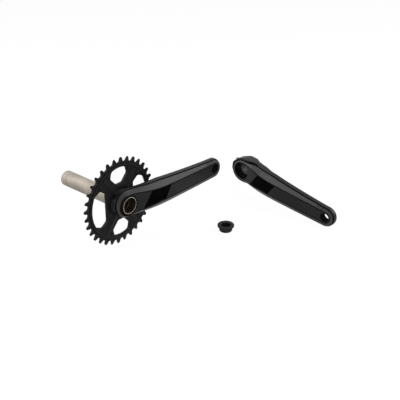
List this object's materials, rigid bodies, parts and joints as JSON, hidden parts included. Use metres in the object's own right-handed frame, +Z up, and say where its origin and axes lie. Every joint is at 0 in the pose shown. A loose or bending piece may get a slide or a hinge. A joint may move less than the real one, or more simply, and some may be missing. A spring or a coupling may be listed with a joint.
{
  "type": "bicycle crankset",
  "caption": "Single-ring bicycle crankset, taken apart for fitting: right arm with spindle and riveted chainring, loose left arm with a split clamp, and loose preload cap.",
  "frame": {"origin": "on the spindle's axis, at the middle of the bottom bracket that would carry it", "axes": "+Y along the spindle to the bicycle's left side, +X forward along the right arm, +Z up"},
  "size_m": [0.3436, 0.3377, 0.1362],
  "materials": {
    "satin_charcoal": "satin charcoal paint on forged aluminium",
    "plated_steel": "nickel-plated steel",
    "black_anodised": "satin black anodising",
    "black_steel": "black oxide",
    "zinc_steel": "zinc-plated steel",
    "black_plastic": "moulded black plastic"
  },
  "bodies": {
    "drive_side": {"right_crank_arm": "satin_charcoal", "spindle": "plated_steel", "chainring_carrier": "black_anodised", "chainring_tooth_ring": "black_steel", "chainring_rivet_1": "black_steel", "chainring_rivet_2": "black_steel", "chainring_rivet_3": "black_steel", "chainring_rivet_4": "black_steel", "chainring_rivet_5": "black_steel", "chainring_rivet_6": "black_steel", "chainring_rivet_7": "black_steel", "chainring_rivet_8": "black_steel", "chainring_lockring": "zinc_steel"},
    "left_arm": {"left_crank_arm": "satin_charcoal"},
    "outer_washer": {"outer_pinch_washer": "zinc_steel"},
    "outer_bolt": {"outer_pinch_bolt": "zinc_steel"},
    "inner_washer": {"inner_pinch_washer": "zinc_steel"},
    "inner_bolt": {"inner_pinch_bolt": "zinc_steel"},
    "stopper": {"stopper_plate": "black_plastic"},
    "cap": {"preload_cap": "black_plastic"}
  },
  "joints": [
    {"name": "left_arm_lift", "type": "slide", "parent": "drive_side", "child": "left_arm", "axis": [0, 0, 1], "range_m": [0, 0.15]},
    {"name": "cap_lift", "type": "slide", "parent": "drive_side", "child": "cap", "axis": [0, 0, 1], "range_m": [0, 0.15]},
    {"name": "outer_bolt_travel", "type": "slide", "parent": "left_arm", "child": "outer_washer", "axis": [0, -0.1236, 0.9923], "range_m": [0, 0.0016]},
    {"name": "outer_bolt_turn", "type": "hinge", "parent": "outer_washer", "child": "outer_bolt", "pos_m": [0.2591, -0.06513, -0.02844], "axis": [0, -0.1236, 0.9923], "range_deg": [0, 720]},
    {"name": "inner_bolt_travel", "type": "slide", "parent": "left_arm", "child": "inner_washer", "axis": [0, 0.1236, -0.9923], "range_m": [0, 0.0016]},
    {"name": "inner_bolt_turn", "type": "hinge", "parent": "inner_washer", "child": "inner_bolt", "pos_m": [0.2696, -0.06513, -0.02844], "axis": [0, 0.1236, -0.9923], "range_deg": [0, 720]},
    {"name": "stopper_swing", "type": "hinge", "parent": "left_arm", "child": "stopper", "pos_m": [0.2696, -0.06513, -0.02844], "axis": [0, 0.1236, -0.9923], "range_deg": [0, 12]}
  ],
  "couplings": [
    {"joint": "outer_bolt_turn", "follows": "outer_bolt_travel", "rad_per_m": 7854},
    {"joint": "inner_bolt_turn", "follows": "inner_bolt_travel", "rad_per_m": 7854}
  ]
}
